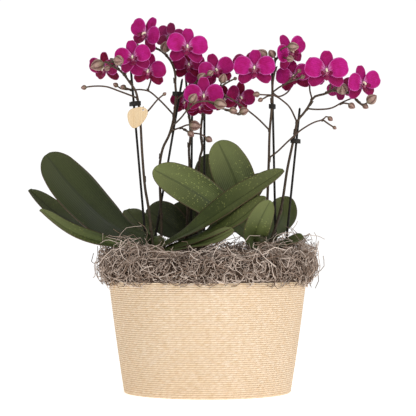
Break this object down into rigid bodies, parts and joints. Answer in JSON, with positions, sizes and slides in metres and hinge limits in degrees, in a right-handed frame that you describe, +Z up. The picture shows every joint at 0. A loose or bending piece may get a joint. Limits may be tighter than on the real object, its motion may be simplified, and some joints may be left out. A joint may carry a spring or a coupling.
{
  "type": "potted moth orchid",
  "caption": "Flowering moth orchids with arching spikes on stakes and broad leaves, standing in a round tapered cord basket topped with moss.",
  "frame": {"origin": "centre of the basket's underside, on the plane that it rests on", "axes": "+Z up along the basket's axis, the front side faces -Y, +X to the right seen from the front"},
  "size_m": [0.4117, 0.2469, 0.4327],
  "materials": {
    "cord": "wound paper cord, matt",
    "liner_plastic": "dark moulded plastic",
    "pot_plastic": "thin moulded plastic",
    "bark": "coarse bark chips",
    "wick": "felted cord",
    "leaf": "fleshy leaf with a soft sheen",
    "stem": "dark stems and buds",
    "stake": "dark stained cane",
    "clip": "dark moulded plastic",
    "petal": "waxy petals with a soft sheen",
    "moss": "dry curled strands",
    "tag_wood": "bare thin wood"
  },
  "bodies": {
    "root": {"bark_left": "bark", "bark_middle": "bark", "bark_right": "bark", "basket": "cord", "bloom_1a": "petal", "bloom_1b": "petal", "bloom_2a": "petal", "bloom_2b": "petal", "bloom_2c": "petal", "bloom_3a": "petal", "bloom_3b": "petal", "bloom_3c": "petal", "bloom_4a": "petal", "bloom_4b": "petal", "bloom_4c": "petal", "bloom_4d": "petal", "bloom_4e": "petal", "bloom_5a": "petal", "bloom_5b": "petal", "bloom_5c": "petal", "bloom_5d": "petal", "bloom_5e": "petal", "bloom_6a": "petal", "bloom_6b": "petal", "bloom_6c": "petal", "bloom_6d": "petal", "clip_1": "clip", "clip_2": "clip", "clip_3": "clip", "clip_4": "clip", "clip_5": "clip", "clip_6": "clip", "leaves_left": "leaf", "leaves_middle": "leaf", "leaves_right": "leaf", "liner": "liner_plastic", "moss": "moss", "pot_deck": "liner_plastic", "pot_left": "pot_plastic", "pot_middle": "pot_plastic", "pot_right": "pot_plastic", "spike_1": "stem", "spike_2": "stem", "spike_3": "stem", "spike_4": "stem", "spike_5": "stem", "spike_6": "stem", "stake_1": "stake", "stake_2": "stake", "stake_3": "stake", "stake_4": "stake", "stake_5": "stake", "stake_6": "stake", "tag": "tag_wood", "wick_left": "wick", "wick_middle": "wick", "wick_right": "wick"}
  },
  "joints": []
}
